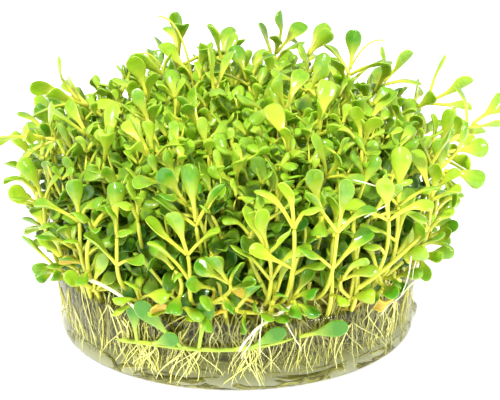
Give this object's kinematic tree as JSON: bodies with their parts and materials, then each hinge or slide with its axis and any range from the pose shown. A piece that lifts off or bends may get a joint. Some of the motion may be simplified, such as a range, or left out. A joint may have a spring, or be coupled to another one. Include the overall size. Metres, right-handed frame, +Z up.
{
  "type": "glossostigma plant portion on nutrient gel",
  "caption": "Carpet plant with small spoon leaves growing from a round cake of clear nutrient gel.",
  "frame": {"origin": "centre of the gel cake's flat underside", "axes": "+Z up, out of the gel through the leaves; the side that the picture shows faces -Y, and the picture's right is +X"},
  "size_m": [0.1147, 0.1064, 0.0678],
  "materials": {
    "gel": "clear, slightly olive nutrient gel, wet and smooth",
    "root": "felted cream and olive roots and old stems",
    "cushion_leaf": "dark green fleshy leaves, glossy and wet",
    "shoot_leaf": "yellow-green fleshy leaves, glossy and slightly translucent"
  },
  "bodies": {
    "root": {"gel": "gel", "leaf_cushion": "cushion_leaf", "root_mat": "root", "runner": "shoot_leaf", "shoot_01": "shoot_leaf", "shoot_02": "shoot_leaf", "shoot_03": "shoot_leaf", "shoot_04": "shoot_leaf", "shoot_05": "shoot_leaf", "shoot_06": "shoot_leaf", "shoot_07": "shoot_leaf", "shoot_08": "shoot_leaf", "shoot_09": "shoot_leaf", "shoot_10": "shoot_leaf", "shoot_11": "shoot_leaf", "shoot_12": "shoot_leaf", "shoot_13": "shoot_leaf", "shoot_14": "shoot_leaf", "shoot_15": "shoot_leaf", "shoot_16": "shoot_leaf", "shoot_17": "shoot_leaf", "shoot_18": "shoot_leaf", "shoot_19": "shoot_leaf", "shoot_20": "shoot_leaf", "shoot_21": "shoot_leaf", "shoot_22": "shoot_leaf", "shoot_23": "shoot_leaf", "shoot_24": "shoot_leaf", "shoot_25": "shoot_leaf", "shoot_26": "shoot_leaf", "shoot_27": "shoot_leaf", "shoot_28": "shoot_leaf", "shoot_29": "shoot_leaf", "shoot_30": "shoot_leaf", "shoot_31": "shoot_leaf", "shoot_32": "shoot_leaf", "shoot_33": "shoot_leaf", "shoot_34": "shoot_leaf", "shoot_35": "shoot_leaf", "shoot_36": "shoot_leaf", "shoot_37": "shoot_leaf", "shoot_38": "shoot_leaf", "shoot_39": "shoot_leaf", "shoot_40": "shoot_leaf", "shoot_41": "shoot_leaf", "shoot_42": "shoot_leaf", "shoot_43": "shoot_leaf", "shoot_44": "shoot_leaf", "shoot_45": "shoot_leaf", "shoot_46": "shoot_leaf", "shoot_47": "shoot_leaf", "shoot_48": "shoot_leaf", "shoot_49": "shoot_leaf"}
  },
  "joints": []
}
